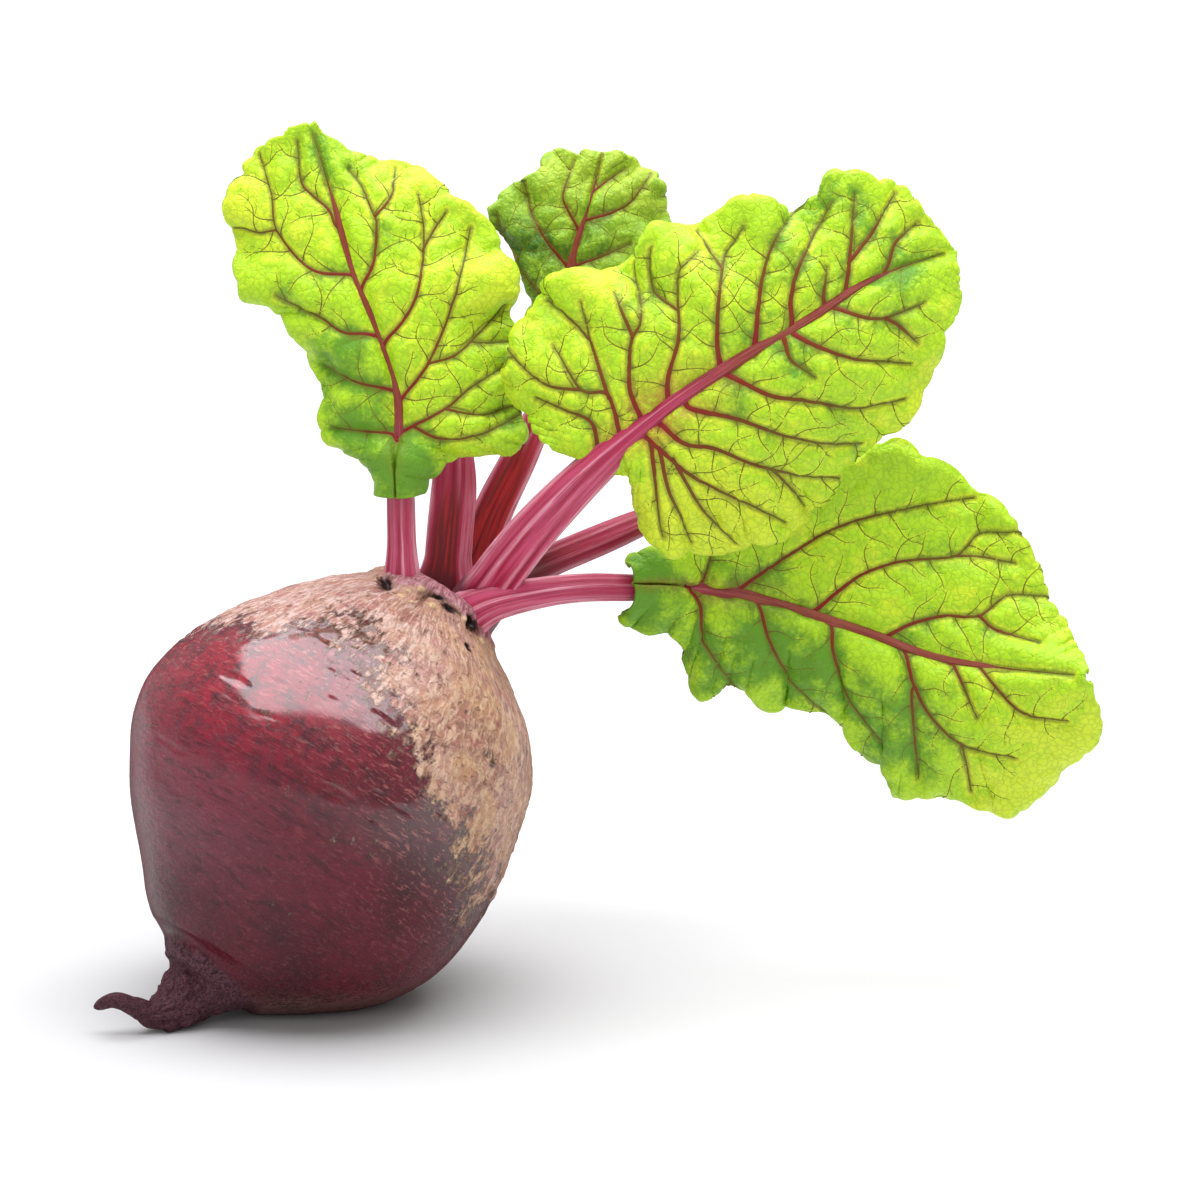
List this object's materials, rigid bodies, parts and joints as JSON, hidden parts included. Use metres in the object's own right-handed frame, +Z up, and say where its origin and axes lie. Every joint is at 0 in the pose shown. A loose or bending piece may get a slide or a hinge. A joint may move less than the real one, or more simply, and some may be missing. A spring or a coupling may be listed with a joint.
{
  "type": "beetroot",
  "caption": "Whole beetroot as picked: round root with a tail and crown, leaf stalks and waved leaf blades, resting on a small flat spot.",
  "frame": {"origin": "centre of the small flat spot under the root, on which it rests", "axes": "+Z up, -Y towards the viewer, +X towards the side on which the leaves spread, millimetre source scaled to metres"},
  "size_m": [0.2015, 0.0871, 0.1747],
  "materials": {
    "skin": "satin",
    "stalk": "satin",
    "blade": "matte"
  },
  "bodies": {
    "root": {"root": "skin", "stalk_left": "stalk", "stalk_right": "stalk", "stalk_top": "stalk", "stalk_low": "stalk", "stalk_behind_left": "stalk", "stalk_behind_right": "stalk", "blade_left": "blade", "blade_right": "blade", "blade_top": "blade", "blade_low": "blade", "blade_behind_left": "blade", "blade_behind_right": "blade"}
  },
  "joints": []
}
